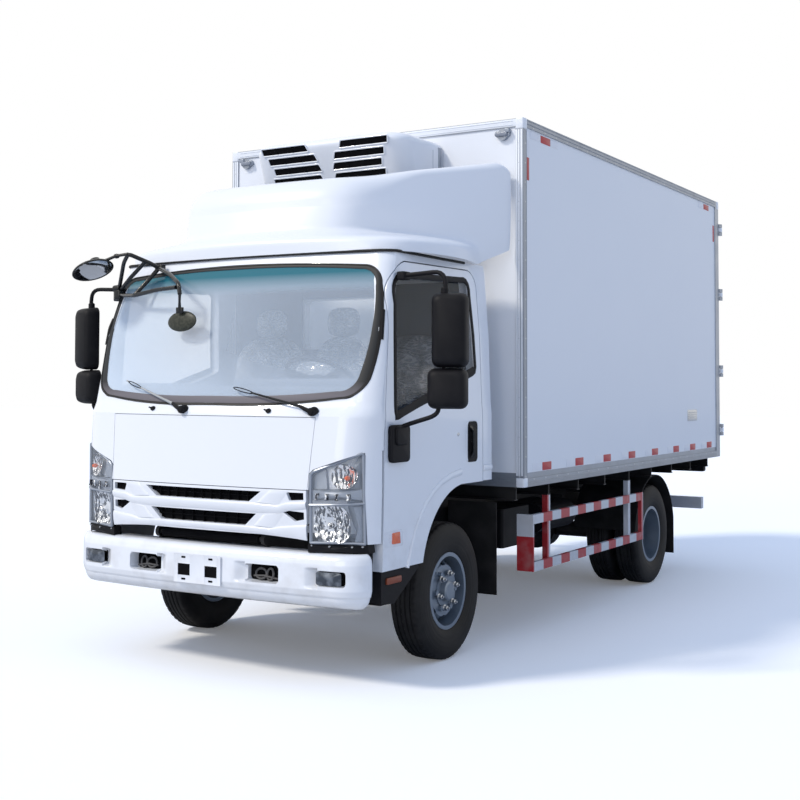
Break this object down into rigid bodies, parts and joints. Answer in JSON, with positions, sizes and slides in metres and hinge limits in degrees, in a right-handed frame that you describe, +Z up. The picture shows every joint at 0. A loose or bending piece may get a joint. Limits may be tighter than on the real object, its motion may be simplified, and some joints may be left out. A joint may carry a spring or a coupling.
{
  "type": "refrigerated truck",
  "caption": "Light refrigerated truck: tilting cab with hinged doors, steered front wheels, twin rear wheels, insulated box with rear doors and a cooling unit above the cab.",
  "frame": {"origin": "on the ground, midway along and midway across the whole truck", "axes": "+Z up, -Y forwards, +X to the truck's own left"},
  "size_m": [2.756, 5.9331, 3.205],
  "materials": {
    "white_paint": "gloss white paint",
    "white_panel": "smooth white glass-fibre sandwich panel",
    "fairing_white": "gloss white moulding",
    "unit_white": "satin white housing",
    "frame_black": "satin black chassis paint",
    "axle_black": "black painted castings",
    "engine_grey": "grey casting",
    "edge_aluminium": "extruded edge profile",
    "door_steel": "stainless frame and fittings",
    "wheel_silver": "silver painted steel",
    "tyre": "black rubber",
    "mud_rubber": "black rubber and plastic",
    "black_plastic": "grained black plastic",
    "grey_plastic": "grained dark grey trim",
    "guard_paint": "red and white striped rails",
    "tank_metal": "plain sheet",
    "glass": "tinted safety glass",
    "lamp": "clear lamp cover over reflectors",
    "seat_fabric": "dark woven cloth",
    "coil_metal": "finned coil block"
  },
  "bodies": {
    "chassis": {"ladder_frame": "frame_black", "box_bearers": "frame_black", "front_axle": "axle_black", "rear_axle": "axle_black", "leaf_springs": "frame_black", "driveline": "engine_grey", "fuel_tank": "tank_metal", "battery_box": "black_plastic", "underrun_guards": "guard_paint", "mudguards": "mud_rubber", "bumper": "white_paint", "box_floor": "white_panel", "box_body": "white_panel", "box_rails": "edge_aluminium", "rear_door_frame": "door_steel", "fridge_unit": "unit_white", "fridge_coil": "coil_metal"},
    "cab": {"cab_shell": "white_paint", "cab_floor": "grey_plastic", "cab_steps": "black_plastic", "cab_glazing": "glass", "front_panel": "white_paint", "grille": "white_paint", "headlamps": "lamp", "dashboard": "grey_plastic", "steering_wheel": "black_plastic", "seats": "seat_fabric", "wipers": "black_plastic", "roof_fairing": "fairing_white", "front_view_mirrors": "black_plastic"},
    "cab_door_left": {"cab_door_left": "white_paint", "door_glass_left": "glass", "mirror_left": "black_plastic"},
    "knuckle_left": {"steering_knuckle_left": "axle_black"},
    "front_wheel_left": {"front_wheel_left": "wheel_silver", "front_tyre_left": "tyre"},
    "rear_wheels_left": {"rear_wheels_left": "wheel_silver", "rear_tyres_left": "tyre"},
    "rear_door_left": {"rear_door_left": "white_panel"},
    "cab_door_right": {"cab_door_right": "white_paint", "door_glass_right": "glass", "mirror_right": "black_plastic"},
    "knuckle_right": {"steering_knuckle_right": "axle_black"},
    "front_wheel_right": {"front_wheel_right": "wheel_silver", "front_tyre_right": "tyre"},
    "rear_wheels_right": {"rear_wheels_right": "wheel_silver", "rear_tyres_right": "tyre"},
    "rear_door_right": {"rear_door_right": "white_panel"}
  },
  "joints": [
    {"name": "cab_tilt", "type": "hinge", "parent": "chassis", "child": "cab", "pos_m": [0, -2.8545, 0.745], "axis": [1, 0, 0], "range_deg": [0, 45]},
    {"name": "cab_door_left_hinge", "type": "hinge", "parent": "cab", "child": "cab_door_left", "pos_m": [1.001, -2.7045, 1.4], "axis": [0, 0, -1], "range_deg": [0, 70]},
    {"name": "steer_left", "type": "hinge", "parent": "chassis", "child": "knuckle_left", "pos_m": [0.735, -1.8445, 0.389], "axis": [0, 0, 1], "range_deg": [-35, 35]},
    {"name": "front_wheel_left_spin", "type": "hinge", "parent": "knuckle_left", "child": "front_wheel_left", "pos_m": [0.84, -1.8445, 0.389], "axis": [1, 0, 0], "continuous": true},
    {"name": "rear_wheels_left_spin", "type": "hinge", "parent": "chassis", "child": "rear_wheels_left", "pos_m": [0.771, 1.5155, 0.389], "axis": [1, 0, 0], "continuous": true},
    {"name": "rear_door_left_hinge", "type": "hinge", "parent": "chassis", "child": "rear_door_left", "pos_m": [1.128, 2.9475, 2.075], "axis": [0, 0, -1], "range_deg": [0, 250]},
    {"name": "cab_door_right_hinge", "type": "hinge", "parent": "cab", "child": "cab_door_right", "pos_m": [-1.001, -2.7045, 1.4], "axis": [0, 0, 1], "range_deg": [0, 70]},
    {"name": "steer_right", "type": "hinge", "parent": "chassis", "child": "knuckle_right", "pos_m": [-0.735, -1.8445, 0.389], "axis": [0, 0, 1], "range_deg": [-35, 35]},
    {"name": "front_wheel_right_spin", "type": "hinge", "parent": "knuckle_right", "child": "front_wheel_right", "pos_m": [-0.84, -1.8445, 0.389], "axis": [1, 0, 0], "continuous": true},
    {"name": "rear_wheels_right_spin", "type": "hinge", "parent": "chassis", "child": "rear_wheels_right", "pos_m": [-0.771, 1.5155, 0.389], "axis": [1, 0, 0], "continuous": true},
    {"name": "rear_door_right_hinge", "type": "hinge", "parent": "chassis", "child": "rear_door_right", "pos_m": [-1.128, 2.9475, 2.075], "axis": [0, 0, 1], "range_deg": [0, 250]}
  ],
  "couplings": [
    {"joint": "steer_right", "follows": "steer_left", "ratio": 1}
  ]
}
